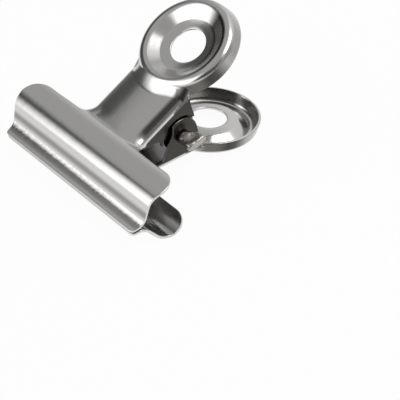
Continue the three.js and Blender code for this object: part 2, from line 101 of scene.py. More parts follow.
def node(tree, kind, settings=None, inputs=None, output=0):
    """One output of a new shader node, with the node's settings and inputs filled in."""
    made = tree.nodes.new(kind)
    for name, value in (settings or {}).items():
        setattr(made, name, value)
    for name, value in (inputs or {}).items():
        socket = made.inputs[name]
        if isinstance(value, Sum):
            tree.links.new(value.socket, socket)
        else:
            socket.default_value = value
    return Sum(tree, made.outputs[output])


def new_material(name):
    material = bpy.data.materials.new(name)
    material.use_nodes = True
    material.node_tree.nodes.clear()
    return material, material.node_tree


def noise(place, scale, detail, roughness=0.5):
    """Soft lumps over a place."""
    values = {"Vector": place, "Scale": scale, "Detail": detail, "Roughness": roughness}
    return node(place.tree, "ShaderNodeTexNoise", {}, values)


def bump(height, strength, distance):
    values = {"Strength": strength, "Distance": distance, "Height": height}
    return node(height.tree, "ShaderNodeBump", {}, values)


def blend(share, first, second):
    """One colour that gives way to another."""
    values = {0: share, 6: first, 7: second}
    return node(share.tree, "ShaderNodeMix", {"data_type": "RGBA"}, values, 2)


def metal(colour, roughness, normal):
    values = {"Base Color": colour, "Metallic": 1.0, "Roughness": roughness, "Normal": normal}
    return node(roughness.tree, "ShaderNodeBsdfPrincipled", {}, values)


def finish_material(tree, surface):
    out = tree.nodes.new("ShaderNodeOutputMaterial")
    tree.links.new(surface.socket, out.inputs["Surface"])


# The sweep is lit as white paper, and shown as plain white by this share.
SHOWN_PLAIN = 0.95
FLOOR_HALF = 3

sweep_paint, tree = new_material("sweep_paint")
paper_white = (0.84, 0.84, 0.84, 1)
lit = node(tree, "ShaderNodeBsdfDiffuse", {}, {"Color": paper_white})
plain_white = node(tree, "ShaderNodeEmission", {}, {"Color": (1, 1, 1, 1), "Strength": 1.0})
camera_ray, glossy_ray, clear_ray = (
    node(tree, "ShaderNodeLightPath", {}, {}, f"Is {kind} Ray")
    for kind in ("Camera", "Glossy", "Transmission")
)
seen = camera_ray.math("MAXIMUM", camera_ray, camera_ray.math("MAXIMUM", glossy_ray, clear_ray))
shown = {0: seen * SHOWN_PLAIN, 1: lit, 2: plain_white}
finish_material(tree, node(tree, "ShaderNodeMixShader", {}, shown))

floor_signs = ((-1, -1), (1, -1), (1, 1), (-1, 1))
floor_corners = [(x * FLOOR_HALF, y * FLOOR_HALF, 0) for x, y in floor_signs]
floor_mesh = bpy.data.meshes.new("floor")
floor_mesh.from_pydata(floor_corners, [], [(0, 1, 2, 3)])
floor_mesh.materials.append(sweep_paint)
floor = bpy.data.objects.new("floor", floor_mesh)
bpy.context.scene.collection.objects.link(floor)

world = bpy.data.worlds.new("studio")
bpy.context.scene.world = world
world.use_nodes = True
world.node_tree.nodes.clear()
tree = world.node_tree
toward = node(tree, "ShaderNodeTexCoord", {}, {}, "Generated")
east, north, height = (node(tree, "ShaderNodeSeparateXYZ", {}, {0: toward}, axis) for axis in "XYZ")
compass = north.math("ARCTAN2", north, east) * math.degrees(1)
climb = height.math("ARCSINE", height) * math.degrees(1)

# The room's brightness, and the patches in it: from and to compass degrees, from and to degrees
# above the floor, softness in degrees and brightness.
ROOM_LEVEL = 0.47
ROOM_PATCHES = (
    (50, 140, -90, 44, 24, 0.75),
    (-2, 50, -90, 38, 20, 0.42),
    (-25, 120, 42, 84, 22, 0.95),
    (-62, -2, -90, 54, 14, 0.09),
    (-68, -14, 36, 72, 10, 0.42),
    (-270, -144, -90, 44, 5, 0.09),
    (156, 270, -90, 31, 14, 0.2),
    (-136, -62, -90, 41, 13, 1.9),
)
light = ROOM_LEVEL
for west_edge, east_edge, low_edge, high_edge, softness, level in ROOM_PATCHES:
    patch = compass.band(west_edge, east_edge, softness) * climb.band(low_edge, high_edge, softness)
    light = light + patch * (level - light)
room = node(tree, "ShaderNodeBackground", {}, {"Color": light, "Strength": 1.0})
out = tree.nodes.new("ShaderNodeOutputWorld")
tree.links.new(room.socket, out.inputs["Surface"])


def softbox(name, compass_turn, height_turn, distance, width, height, radiance):
    """A rectangular lamp that faces the clip, placed by its direction."""
    lamp = bpy.data.lights.new(name, "AREA")
    lamp.shape = "RECTANGLE"
    lamp.size = width
    lamp.size_y = height
    lamp.energy = radiance * math.pi * width * height
    thing = bpy.data.objects.new(name, lamp)
    bpy.context.scene.collection.objects.link(thing)
    turn, lift = math.radians(compass_turn), math.radians(height_turn)
    flat = math.cos(lift)
    away = Vector((math.cos(turn) * flat, math.sin(turn) * flat, math.sin(lift)))
    thing.location = away * distance
    thing.rotation_euler = (-away).to_track_quat("-Z", "Y").to_euler()
    thing.visible_camera = False


softbox("lamp_over", 40, 60, distance=1.1, width=0.7, height=0.6, radiance=2.6)

# ------------------------------------------------------------------ Levers
# Each lever is one pressing in 0.8 mm steel sheet, bright plated: a ribbed jaw, a flanged neck,
# two ears for the pin and a dished ring for a finger. Sizes are in millimetres, with Y away from
# the clip's middle and Z from lip to ring.

SHEET = 0.8
EDGE = 0.18  # rounding of the sheared rims

# The jaw and its lip. Half widths run along the pin.
JAW_HALF = 31.5
LIP_HALF = 29.5
LIP_CORNER = 1.4
LIP_GAP = 0.15
LIP_LEAN = 4
SHOULDER = 5.5

# The neck, with rounded sides that fall towards the ears.
NECK_HALF = 11.2
NECK_DEGREES = 13.8
NECK_LEAN = math.radians(NECK_DEGREES)
ROOT_FILLET = 5.0
SHOULDER_WIDTH = 11.0
SHOULDER_POWER = 2.5
SHOULDER_DEPTH = 3.4

# The finger ring, and the collar that lifts the neck to its crest.
RING_LEAN = math.radians(18)
HOLE = 5.45
CREST_BEND = 1.8
CREST_RISE = 1.65
CREST_SETBACK = 2.4
CREST_SINK = 0.03  # keeps the neck's face just under the ring's
COLLAR_SLOPE = math.radians(26)
COLLAR_POWER = 1.3
COLLAR_HOLD = 0.9  # how far the collar flattens the neck's rounded sides

# The ears. The pin's hole is at PIVOT, and OFFSET from the clip's middle plane.
PIVOT = 32.7
OFFSET = 1.2
HEAD = 5.5  # radius of the heads round the pin
EAR_IN, EAR_OUT = NECK_HALF - SHEET, NECK_HALF
EAR_BELOW_FOLD = 0.1  # the ears start here, inside the neck's stubs
EAR_GAP = 0.7
EAR_SLOPE = math.radians(41)
BACK_EAR_TRIM = 1.8
BACK_EAR_ROUNDING = 0.38
WEB_ROUNDING = 0.15
RELIEF = 2.6  # radius of the front ears' notch by the jaw, and its place from the pin
RELIEF_DROP = 9.6
RELIEF_OFFSET = 1.7
RECESS = 7.0  # radius of the front ears' seats
SEAT_DEPTH = 1.36
SEAT_ROOM = 1.1
SEAT_SPARE = 0.3
PIN_HOLE = 2.1
OPENING = math.radians(50)

EAR_TOP = PIVOT + HEAD
NECK_TOP = EAR_TOP - CREST_SETBACK


def bent_line(start, lean, moves, turn_step, run_step):
    """Points (u, v, lean) along a bent line, with the lean measured from v towards u.

    A move is (length, None) for a straight run, or (radius, degrees) for a bend to that lean.
    """
    u, v = start
    lean = math.radians(lean)
    points = [(u, v, lean)]
    for size, target in moves:
        if target is None:
            steps = max(1, math.ceil(size / run_step))
            for k in range(1, steps + 1):
                run = size * k / steps
                points.append((u + run * math.sin(lean), v + run * math.cos(lean), lean))
            u, v = points[-1][:2]
            continue
        turn = math.radians(target) - lean
        radius = math.copysign(size, turn)
        centre_u, centre_v = u + radius * math.cos(lean), v - radius * math.sin(lean)
        steps = max(1, math.ceil(abs(turn) / math.radians(turn_step)))
        for k in range(1, steps + 1):
            a = lean + turn * k / steps
            points.append((centre_u - radius * math.cos(a), centre_v + radius * math.sin(a), a))
        u, v, lean = points[-1]
    return np.array(points)


# The sheet's middle line: lip, groove, bulge, brow and neck.
sheet_moves = [
    (1.9, None),
    (3.4, 62),
    (3.4, None),
    (5.1, -2),
    (2.2, None),
    (9.1, -25),
    (2.4, NECK_DEGREES),
    (34, None),
]
sheet_line = bent_line((LIP_GAP + SHEET / 2, 0), LIP_LEAN, sheet_moves, 0.5, 0.3)


def lean_at(z):
    return float(np.interp(z, sheet_line[:, 1], sheet_line[:, 2]))


def middle_at(z):
    return float(np.interp(z, sheet_line[:, 1], sheet_line[:, 0]))


def face_at(z):
    return middle_at(z) + SHEET / 2 / math.cos(lean_at(z))


plate_foot = float(sheet_line[np.argmax(sheet_line[:, 2] < 0), 1])
brow = np.argmin(sheet_line[:, 2])
PLATE_TOP = float(sheet_line[brow, 1])
FILLET_TOP = PLATE_TOP + ROOT_FILLET

# The ring's section: hub, cone, crest and outer wall.
ring_moves = [(21.5, 78), (1, 56), (3.36, None), (CREST_BEND, 166), (2.9, None)]
ring_line = bent_line((HOLE, 0), 86, ring_moves, 4, 0.5)
crest = ring_line[np.argmax(ring_line[:, 1])]
ring_axis = Vector((0, math.cos(RING_LEAN), -math.sin(RING_LEAN)))
ring_along = Vector((0, math.sin(RING_LEAN), math.cos(RING_LEAN)))
ring_centre = (
    Vector((0, face_at(NECK_TOP) + CREST_RISE, NECK_TOP))
    + ring_along * float(crest[0])
    - ring_axis * (float(crest[1]) + SHEET / 2)
)
ring_place = Matrix((Vector((1, 0, 0)), ring_axis, ring_along)).transposed().to_4x4()
ring_place.translation = ring_centre

crest_face = CREST_BEND + SHEET / 2
collar_start = crest[0] + crest_face * math.sin(COLLAR_SLOPE)
collar_top = CREST_RISE - crest_face * (1 - math.cos(COLLAR_SLOPE))
collar_width = COLLAR_POWER * collar_top / math.tan(COLLAR_SLOPE)


def collar(distance):
    """Rise and slope of the bend that carries the neck up into the ring's crest."""
    if distance > collar_start:
        share = max(0.0, 1 - (distance - collar_start) / collar_width)
        slope = share ** (COLLAR_POWER - 1) * math.tan(COLLAR_SLOPE)
        return collar_top * share**COLLAR_POWER, slope
    across = max(0.0, distance - crest[0])
    height = math.sqrt(max(0.01, crest_face**2 - across**2))
    return CREST_RISE - crest_face + height - CREST_SINK, across / height


def half_width(z):
    """Half the lever's width at a height, for lip, jaw, root fillet and neck."""
    if z < LIP_CORNER:
        return LIP_HALF - LIP_CORNER + math.sqrt(LIP_CORNER**2 - (LIP_CORNER - z) ** 2)
    if z < plate_foot:
        return LIP_HALF + (JAW_HALF - LIP_HALF) * (z - LIP_CORNER) / (plate_foot - LIP_CORNER)
    if z <= PLATE_TOP:
        rise = max(0.0, z - PLATE_TOP + SHOULDER)
        return JAW_HALF - SHOULDER + math.sqrt(max(0.0, SHOULDER**2 - rise**2))
    rise = min(max(FILLET_TOP - z, 0.0), ROOT_FILLET)
    return NECK_HALF + ROOT_FILLET - math.sqrt(ROOT_FILLET**2 - rise**2)


def edge_distance(x, z):
    """How far a point of the sheet lies from the sheared edge."""
    root = NECK_HALF + ROOT_FILLET
    if z > PLATE_TOP:
        if z < FILLET_TOP:
            return math.hypot(root - x, FILLET_TOP - z) - ROOT_FILLET
        return half_width(z) - x
    away = min(half_width(z) - x, z)
    if x < root:
        return min(away, math.hypot(root - x, FILLET_TOP - z) - ROOT_FILLET)
    corner = JAW_HALF - SHOULDER
    if x > corner and z > PLATE_TOP - SHOULDER:
        return SHOULDER - math.hypot(x - corner, z - PLATE_TOP + SHOULDER)
    if x > LIP_HALF - LIP_CORNER and z < LIP_CORNER:
        return LIP_CORNER - math.hypot(x - LIP_HALF + LIP_CORNER, LIP_CORNER - z)
    return min(away, PLATE_TOP - z)


def half_thickness(distance):
    """Half the sheet's thickness, less where its rims are rounded."""
    past = min(max(EDGE - distance, 0.0), EDGE)
    return SHEET / 2 - EDGE + math.sqrt(EDGE**2 - past**2)


def flipped(points):
    """The same points on the clip's other side."""
    return [Vector((-p.x, p.y, p.z)) for p in points]


ARC_ANGLES = [math.radians(7.5 * k) for k in range(13)]
LEAST_ROW_GAP = 0.009
STUB_BELOW = 3  # the ears' stubs start this far below the root fillet's top
STUB_DROP = 0.6
FLAT_STATIONS = 8
SHOULDER_STATIONS = 33


def row_heights():
    """Heights of the loops across the sheet, closer together where it curves."""
    heights = [float(v) for v in bent_line((0, 0), LIP_LEAN, sheet_moves[:-1], 3, 0.6)[:, 1]]
    heights += [EDGE * (1 - math.cos(a)) for a in ARC_ANGLES[::3]]
    heights += [LIP_CORNER * (1 - math.cos(a)) for a in ARC_ANGLES]
    heights += [PLATE_TOP - SHOULDER * (1 - math.sin(a)) for a in ARC_ANGLES]
    heights += [PLATE_TOP - EDGE * (1 - math.sin(a)) for a in ARC_ANGLES[::3]]
    heights += [FILLET_TOP - ROOT_FILLET * math.cos(a) for a in ARC_ANGLES]
    heights += [PLATE_TOP + 0.01]
    heights += list(np.arange(FILLET_TOP, NECK_TOP - 6, 1.0))
    heights += list(np.arange(NECK_TOP - 6, NECK_TOP + 5, 0.25))
    heights += [EAR_TOP - 0.01, EAR_TOP + 0.01]
    kept = []
    for z in sorted(heights):
        if not kept or z - kept[-1] > LEAST_ROW_GAP:
            kept.append(z)
    return kept


def sheet_rows():
    """Closed loops across the sheet, from lip to ring, for jaw and neck in one."""
    power = 2 / SHOULDER_POWER
    steep = 2 - power
    rows = []
    for z in row_heights():
        lean = lean_at(z)
        normal = Vector((0, math.cos(lean), -math.sin(lean)))
        face = Vector((0, middle_at(z), z)) + normal * SHEET / 2
        fall = min(max((FILLET_TOP - z) / ROOT_FILLET, 0.0), 1.0)
        depth = SHOULDER_DEPTH * (1 - fall**2)
        stub = 0.0
        if FILLET_TOP - STUB_BELOW < z < EAR_TOP:
            stub = min(1.0, (z - FILLET_TOP + STUB_BELOW) / 2)
        flat = half_width(z) - SHOULDER_WIDTH
        places = [(flat * k / FLAT_STATIONS, 0.0) for k in range(FLAT_STATIONS)]
        places += [(flat, a) for a in np.linspace(0, math.pi / 2, SHOULDER_STATIONS)]
        outer, inner = [], []
        for base, a in places:
            sine, cosine = math.sin(a), max(math.cos(a), 0.0)
            x = base + SHOULDER_WIDTH * sine**power
            out_point = Vector((x, face.y - depth * (1 - cosine**power), face.z))
            away = out_point - ring_centre
            away -= ring_axis * away.dot(ring_axis)
            rise, slope = collar(away.length)
            held_up = COLLAR_HOLD * min(1.0, rise / CREST_RISE)
            drop_out = depth * (1 - held_up) * sine**steep
            lean_out = math.atan2(drop_out, SHOULDER_WIDTH * cosine**steep)
            facing = normal * math.cos(lean_out) + Vector((1, 0, 0)) * math.sin(lean_out)
            out_point.y += (face.y - out_point.y) * held_up
            out_point += normal * rise
            facing = (facing + away.normalized() * slope).normalized()
            thick = half_thickness(edge_distance(x, z) + 2 * EDGE * stub)
            middle = out_point - facing * SHEET / 2
            outer.append(middle + facing * thick)
            inner.append(middle - facing * thick)
        # Two more points round the rim. Where an ear hangs, they reach down into it.
        tips = [outer[-1].lerp(inner[-1], 1 / 3), outer[-1].lerp(inner[-1], 2 / 3)]
        drop = Vector((0, -STUB_DROP * stub, 0))
        outer.append(tips[0].lerp(outer[-1] + drop, stub))
        inner.append(tips[1].lerp(inner[-1] + drop, stub))
        top = flipped(outer[:0:-1]) + outer
        bottom = flipped(inner[:0:-1]) + inner
        rows.append(top + bottom[::-1])
    return rows


def mesh_of(rows, name, wrap=False, caps="strip"):
    """A closed mesh through loops of points, joined end to end or capped at both ends."""
    bm = bmesh.new()
    grid = [[bm.verts.new(p) for p in row] for row in rows]
    count = len(rows[0])
    for i in range(len(rows) - (0 if wrap else 1)):
        a, b = grid[i], grid[(i + 1) % len(rows)]
        for j in range(count):
            k = (j + 1) % count
            bm.faces.new((a[j], a[k], b[k], b[j]))
    if not wrap:
        for row in (grid[0], grid[-1]):
            if caps == "strip":
                for j in range(count // 2 - 1):
                    bm.faces.new((row[j], row[j + 1], row[count - 2 - j], row[count - 1 - j]))
            else:
                bm.faces.new(row)
    bmesh.ops.recalc_face_normals(bm, faces=bm.faces)
    mesh = bpy.data.meshes.new(name)
    bm.to_mesh(mesh)
    bm.free()
    return mesh


def spun(place, radius, height, step, segments):
    """A point that many steps round the place's Y axis."""
    a = 2 * math.pi * step / segments
    return place @ Vector((radius * math.cos(a), height, radius * math.sin(a)))


def turned(outline, place, name, segments=160):
    """A closed outline of (radius, height), turned about the place's Y axis."""
    rows = [[spun(place, r, h, k, segments) for r, h in outline] for k in range(segments)]
    return mesh_of(rows, name, wrap=True)


def turned_solid(outline, place, name, segments=160):
    """The same for an outline whose two ends lie on the axis."""
    rows = [[spun(place, r, h, k, segments) for k in range(segments)] for r, h in outline]
    return mesh_of(rows, name, caps="face")


def skin(line, thickness):
    """The closed outline of a sheet along a bent line, with rounded ends."""

    def end(point, sign, outward):
        u, v, a = point
        along = (math.sin(a) * outward, math.cos(a) * outward)
        across = (-math.cos(a), math.sin(a))
        rim = []
        for side_sign in (sign, -sign):
            turns = [0, 30, 60, 90] if side_sign == sign else [90, 60, 30, 0]
            for t in turns:
                t = math.radians(t)
                reach = EDGE * (math.sin(t) - 1)
                off = side_sign * (thickness / 2 - EDGE + EDGE * math.cos(t))
                rim_u = u + along[0] * reach + across[0] * off
                rim_v = v + along[1] * reach + across[1] * off
                rim.append((rim_u, rim_v))
        return rim

    def side(sign, points):
        return [
            (u - sign * thickness / 2 * math.cos(a), v + sign * thickness / 2 * math.sin(a))
            for u, v, a in points
        ]

    def clear_of(point, tip):
        return np.hypot(*(point[:2] - tip[:2])) > EDGE

    between_ends = [p for p in line if clear_of(p, line[0]) and clear_of(p, line[-1])]
    outline = side(1, between_ends) + end(line[-1], 1, 1)
    return outline + side(-1, between_ends[::-1]) + end(line[0], -1, -1)


def inset(outline, amount):
    """A polygon drawn in by a small amount."""
    points = [Vector(p) for p in outline]
    area = sum(a.x * b.y - b.x * a.y for a, b in zip(points, points[1:] + points[:1]))
    sign = 1 if area > 0 else -1
    result = []
    for k, p in enumerate(points):
        before = (p - points[k - 1]).normalized()
        after = (points[(k + 1) % len(points)] - p).normalized()
        n1 = Vector((-before.y, before.x)) * sign
        n2 = Vector((-after.y, after.x)) * sign
        result.append(p + (n1 + n2) / max(0.35, 1 + n1.dot(n2)) * amount)
    return result


def plate(outline, x_from, x_to, name, rounding=0.0):
    """A plate across X, with its outline in Y and Z and softly rounded rims."""
    steps = [(0, 0)]
    if rounding:
        angles = [math.radians(a) for a in (0, 30, 60, 90)]
        steps = [(1 - math.sin(a), 1 - math.cos(a)) for a in angles]
    layers = [(x_from + rounding * d, rounding * i) for i, d in steps]
    layers += [(x_to - rounding * d, rounding * i) for i, d in steps[::-1]]
    rows = [[Vector((x, p.x, p.y)) for p in inset(outline, amount)] for x, amount in layers]
    return mesh_of(rows, name, caps="face")


def disc(y, z, radius, x_from, x_to, name, segments=128):
    """A round plate across X."""
    angles = [2 * math.pi * k / segments for k in range(segments)]
    outline = [(y + radius * math.cos(a), z + radius * math.sin(a)) for a in angles]
    return plate(outline, x_from, x_to, name)


def arc(y, z, radius, start, end, steps):
    """Points (y, z) on a circle, from one angle to the other."""
    angles = np.radians(np.linspace(start, end, steps + 1))
    return [(y + radius * math.cos(a), z + radius * math.sin(a)) for a in angles]


def evaluated_mesh(thing):
    """A new mesh of the object with its modifiers applied."""
    view = bpy.context.evaluated_depsgraph_get()
    return bpy.data.meshes.new_from_object(thing.evaluated_get(view))


def join(mesh, others, operation):
    """Adds, cuts or keeps in common closed meshes, one after another."""
    thing = bpy.data.objects.new("work", mesh)
    bpy.context.scene.collection.objects.link(thing)
    tools = []
    for other in others:
        tool = bpy.data.objects.new("tool", other)
        bpy.context.scene.collection.objects.link(tool)
        tools.append(tool)
        change = thing.modifiers.new("join", "BOOLEAN")
        change.operation = operation
        change.solver = "MANIFOLD"
        change.object = tool
    result = evaluated_mesh(thing)
    for item in tools + [thing]:
        bpy.data.objects.remove(item)
    bm = bmesh.new()
    bm.from_mesh(result)
    bmesh.ops.dissolve_degenerate(bm, dist=1e-5, edges=bm.edges)
    many_sided = [f for f in bm.faces if len(f.verts) > 4]
    bmesh.ops.triangulate(bm, faces=many_sided, ngon_method="BEAUTY")
    bm.to_mesh(result)
    bm.free()
    return result


def mirrored(mesh):
    """The same mesh on the clip's other side."""
    copy = mesh.copy()
    copy.transform(Matrix.Diagonal((-1, 1, 1, 1)))
    copy.flip_normals()
    return copy


def ear_edge(pivot_y, distance):
    """The sloping lower edge of an ear: its foot by the pin, and its Y at a height."""
    side = math.copysign(1, pivot_y)
    foot_y = pivot_y - side * distance * math.sin(EAR_SLOPE)
    foot_z = PIVOT - distance * math.cos(EAR_SLOPE)
    return (foot_y, foot_z), lambda z: foot_y + side * (foot_z - z) / math.tan(EAR_SLOPE)


def fold_at(z):
    """The Y at which an ear hangs from the neck's rounded side."""
    return face_at(z) - SHOULDER_DEPTH


def back_ear():
    """A plain ear with a round head."""
    foot, edge = ear_edge(OFFSET, HEAD - BACK_EAR_TRIM)
    candidates = np.arange(FILLET_TOP + 4, 0, -0.05)
    low = next(z for z in candidates if edge(z) > fold_at(z) - 0.15)
    outline = [(fold_at(EAR_TOP) - EAR_BELOW_FOLD, EAR_TOP)]
    outline += arc(OFFSET, PIVOT, HEAD, 90, 201, 36) + [foot]
    outline += [(edge(low), low)]
    return plate(outline, EAR_IN, EAR_OUT, "ear", BACK_EAR_ROUNDING)


def front_web():
    """The outline of the front ear, with a round relief by the jaw."""
    foot, edge = ear_edge(-OFFSET, HEAD + EAR_GAP)
    relief_y, relief_z = RELIEF_OFFSET - OFFSET, PIVOT - RELIEF_DROP
    low = FILLET_TOP - 2.0
    outline = [(fold_at(EAR_TOP) - EAR_BELOW_FOLD, EAR_TOP), (-OFFSET - 1, EAR_TOP)]
    outline += [(-OFFSET - 1, PIVOT), foot, (edge(relief_z + RELIEF), relief_z + RELIEF)]
    outline += arc(relief_y, relief_z, RELIEF, 90, -20, 20)
    outline += [(fold_at(low) - 0.55, low), (fold_at(low) - EAR_BELOW_FOLD, low)]
    return outline


def recess():
    """The dished seat for the other lever's ear: floor, wall and rolled rim."""
    moves = [(5.9, None), (0.5, 14), (0.62, None), (0.5, 90), (0.9, None)]
    line = bent_line((0, EAR_OUT - SHEET / 2 - SEAT_DEPTH), 90, moves, 10, 1.0)
    place = Matrix(((0, 1, 0, 0), (1, 0, 0, -OFFSET), (0, 0, -1, PIVOT), (0, 0, 0, 1)))
    half = SHEET / 2
    up = [(u - half * math.cos(a), v + half * math.sin(a)) for u, v, a in line]
    down = [(u + half * math.cos(a), v - half * math.sin(a)) for u, v, a in line[::-1]]
    return turned_solid([(max(u, 0.01), v) for u, v in up + down], place, "recess", 128)


def swept_ear():
    """The room that the other lever's ear needs as the clip opens."""
    across = Vector((math.cos(math.pi / 2 - OPENING), math.sin(math.pi / 2 - OPENING)))
    along = Vector((-across.y, across.x))
    centre = Vector((-OFFSET, PIVOT))
    reach, length = HEAD + SEAT_SPARE, 14
    far = centre + across * reach
    corners = [centre, far, far + along * length, centre + along * length]
    return plate([tuple(c) for c in corners], EAR_OUT - SEAT_ROOM, EAR_OUT + 0.2, "sweep")


def seated_ear():
    """The front lever's ear: a flat web, and a seat set inwards round the pin."""
    web = front_web()
    bite = disc(-OFFSET, PIVOT, RECESS + 0.1, 0, 20, "bite")
    flat_part = join(plate(web, EAR_IN, EAR_OUT, "web", WEB_ROUNDING), [bite], "DIFFERENCE")
    lobe = disc(-OFFSET, PIVOT, HEAD - SEAT_SPARE, 5, 15, "lobe")
    keep = join(plate(web, 5, 15, "keep"), [lobe], "UNION")
    seat = join(join(recess(), [keep], "INTERSECT"), [swept_ear()], "DIFFERENCE")
    return [flat_part, seat]


def ring_inside():
    """What the ring encloses, to be cut out of the sheet that runs into it."""
    wall = [p for p in ring_line if p[0] >= crest[0] - 1e-6]
    ceiling = crest[1] + CREST_RISE + 0.4
    outline = [(0.01, wall[-1][1])] + [(p[0], p[1]) for p in wall[::-1]]
    outline += [(crest[0], ceiling), (0.01, ceiling)]
    return turned_solid(outline, ring_place, "inside")


def block(x_half, y_ends, z_ends, place, name):
    """A plain block."""
    near, far = y_ends
    corners = ((-x_half, near), (x_half, near), (x_half, far), (-x_half, far))
    rows = [[place @ Vector((x, y, z)) for x, y in corners] for z in z_ends]
    return mesh_of(rows, name, caps="face")


def under_rim():
    """All that lies past the end of the ring's wall and above the ears."""
    size = 60
    rim = ring_line[-1][1]
    past = block(size / 2, (rim - size, rim), (-size / 2, size / 2), ring_place, "past")
    ends = (EAR_TOP - size, EAR_TOP + 0.02)
    low = block(size / 2 + 1, (-size, size), ends, Matrix.Identity(4), "low")
    return join(past, [low], "DIFFERENCE")


def neck_channel():
    """The hollow under the neck, to be cut out of the ring."""
    low, high = face_at(FILLET_TOP) - SHEET, face_at(NECK_TOP) - SHEET
    outline = [(low, FILLET_TOP), (high, NECK_TOP), (high, ring_centre.z)]
    outline += [(-7, ring_centre.z), (-7, FILLET_TOP)]
    return plate(outline, -EAR_IN, EAR_IN, "channel")


def lever_mesh(front):
    """One whole lever in a single closed mesh."""
    sheet = mesh_of(sheet_rows(), "sheet")
    sheet = join(sheet, [ring_inside(), under_rim()], "DIFFERENCE")
    ears = seated_ear() if front else [back_ear()]
    ring = turned(skin(ring_line, SHEET), ring_place, "ring")
    ring = join(ring, [neck_channel()], "DIFFERENCE")
    whole = join(sheet, ears + [mirrored(e) for e in ears] + [ring], "UNION")
    pivot_y = -OFFSET if front else OFFSET
    return join(whole, [disc(pivot_y, PIVOT, PIN_HOLE, -20, 20, "pin_hole")], "DIFFERENCE")


# From a lever's own millimetres to its place in the frame, where the clip lies on the floor on its
# back ring and its jaw.
rest_lean = math.radians(14.3135)
pivot_place = Vector(frame["joints"][0]["pos_m"])
to_frame = (
    Matrix.Translation(pivot_place)
    @ Matrix.Rotation(rest_lean - math.pi / 2, 4, "X")
    @ Matrix.Scale(0.001, 4)
    @ Matrix.Translation((0, -OFFSET, -PIVOT))
)


def smooth(thing, degrees):
    """Smooth shading with crisp corners, weighted by the larger faces."""
    mesh = thing.data
    mesh.shade_smooth()
    mesh.set_sharp_from_angle(angle=math.radians(degrees))
    even = thing.modifiers.new("even_shading", "WEIGHTED_NORMAL")
    even.keep_sharp = True
    even.weight = 60


# Painted shade and dark reflections, which darken the lever's colour, as places against
# amounts: heights up the lever, a place across it, and degrees round the ring from its foot,
# counted one way.
INNER_FACE = ([PLATE_TOP - 1, FILLET_TOP, PIVOT - 8, PIVOT - 4], [0.25, 0.4, 0.4, 0.65])
GROOVE_SIDES = ([1.0, 1.5, 2.1, 2.7, 4.2, 4.7, 5.1, 5.6], [0, 0.4, 0.42, 0.08, 0, 0.62, 0.6, 0.05])
NECK_STRIP = ([-10.75, -10.3, -9.1, -8.1], [0, 0.95, 0.95, 0])
NECK_STRIP_HEIGHT = ([FILLET_TOP - 2, FILLET_TOP + 1, NECK_TOP, NECK_TOP + 2], [0, 1, 1, 0])
WALL_OUTSIDE = ([0, 60, 72, 82, 98], [0.8, 0.85, 1.0, 0.95, 0.4])
WALL_INSIDE = ([-174, -165, -95, -70], [0, 0.9, 0.9, 0.3])
DISH_SIDE = ([-174, -160, -100, -72, -45], [0, 1, 1, 0.8, 0])
DISH_START, DISH_END = 8.3, 12.5


def fade(values, none_at, full_at):
    """0 up to the one place and 1 past the other."""
    return np.clip((values - none_at) / (full_at - none_at), 0, 1)


def read_points(source, key):
    values = np.empty(len(source) * 3, np.float32)
    source.foreach_get(key, values)
    return values.reshape(-1, 3)


def mark_sheet(mesh):
    """Keeps each point's place on the lever, and where its colour is darkened as painted shade."""
    place = read_points(mesh.vertices, "co")
    normal = read_points(mesh.vertex_normals, "vector")
    mesh.attributes.new("place", "FLOAT_VECTOR", "POINT").data.foreach_set("vector", place.ravel())
    x, y, z = place.T
    normal_x, normal_y = normal[:, 0], normal[:, 1]
    fold = np.interp(z, sheet_line[:, 1], sheet_line[:, 0]) + SHEET / 2 - SHOULDER_DEPTH + 0.05

    # Jaw, neck and ears.
    inner_face = fade(-normal_y, 0.1, 0.4) * fade(z, NECK_TOP, NECK_TOP - 3)
    inner_face *= np.interp(z, *INNER_FACE)
    ears = (z > FILLET_TOP - 3) & (y < fold) & (np.abs(x) < NECK_HALF + 0.1)
    ears = ears * fade(np.abs(normal_x), 0.35, 0.55)
    groove = np.interp(z, *GROOVE_SIDES) * fade(normal_y, 0, 0.3)
    neck_strip = np.interp(x, *NECK_STRIP) * np.interp(z, *NECK_STRIP_HEIGHT) * (y > fold)

    # Ring.
    axis, along = np.array(ring_axis), np.array(ring_along)
    away = place - np.array(ring_centre)
    lift = away @ axis
    across = away - np.outer(lift, axis)
    reach = np.linalg.norm(across, axis=1)
    outward = np.sum(normal * across, axis=1) / np.maximum(reach, 1)
    turn = np.degrees(np.arctan2(away[:, 0], -away @ along))
    wall_top = crest[1] + SHEET / 2 - 1.0
    outside = np.interp(np.abs(turn), *WALL_OUTSIDE) * fade(lift, wall_top, wall_top - 0.5)
    inside = np.interp(turn, *WALL_INSIDE)
    wall = (reach > crest[0] + 0.6) & (z > EAR_TOP - 6) & (y > fold)
    wall = wall * np.where(outward > 0.5, outside, np.where(outward < -0.5, inside, 0))
    dish = (reach > DISH_START) & (reach < crest[0]) & (normal @ axis > 0.3) & (z > NECK_TOP)
    dish = dish * np.interp(turn, *DISH_SIDE) * fade(reach, DISH_END, DISH_END - 0.5)

    # Painted shade and dark reflections: the strongest of these marks darkens the lever's colour.
    painted_dark = np.max([inner_face, ears, groove, neck_strip, wall, dish], axis=0).astype(np.float32)
    mesh.attributes.new("painted_shade", "FLOAT", "POINT").data.foreach_set("value", painted_dark)


# The dark colour is painted shade and dark reflections, laid over the bright plated colour.
BRIGHT_PLATING = (0.66, 0.655, 0.64, 1)
SHADE_PAINT = (0.06, 0.057, 0.049, 1)

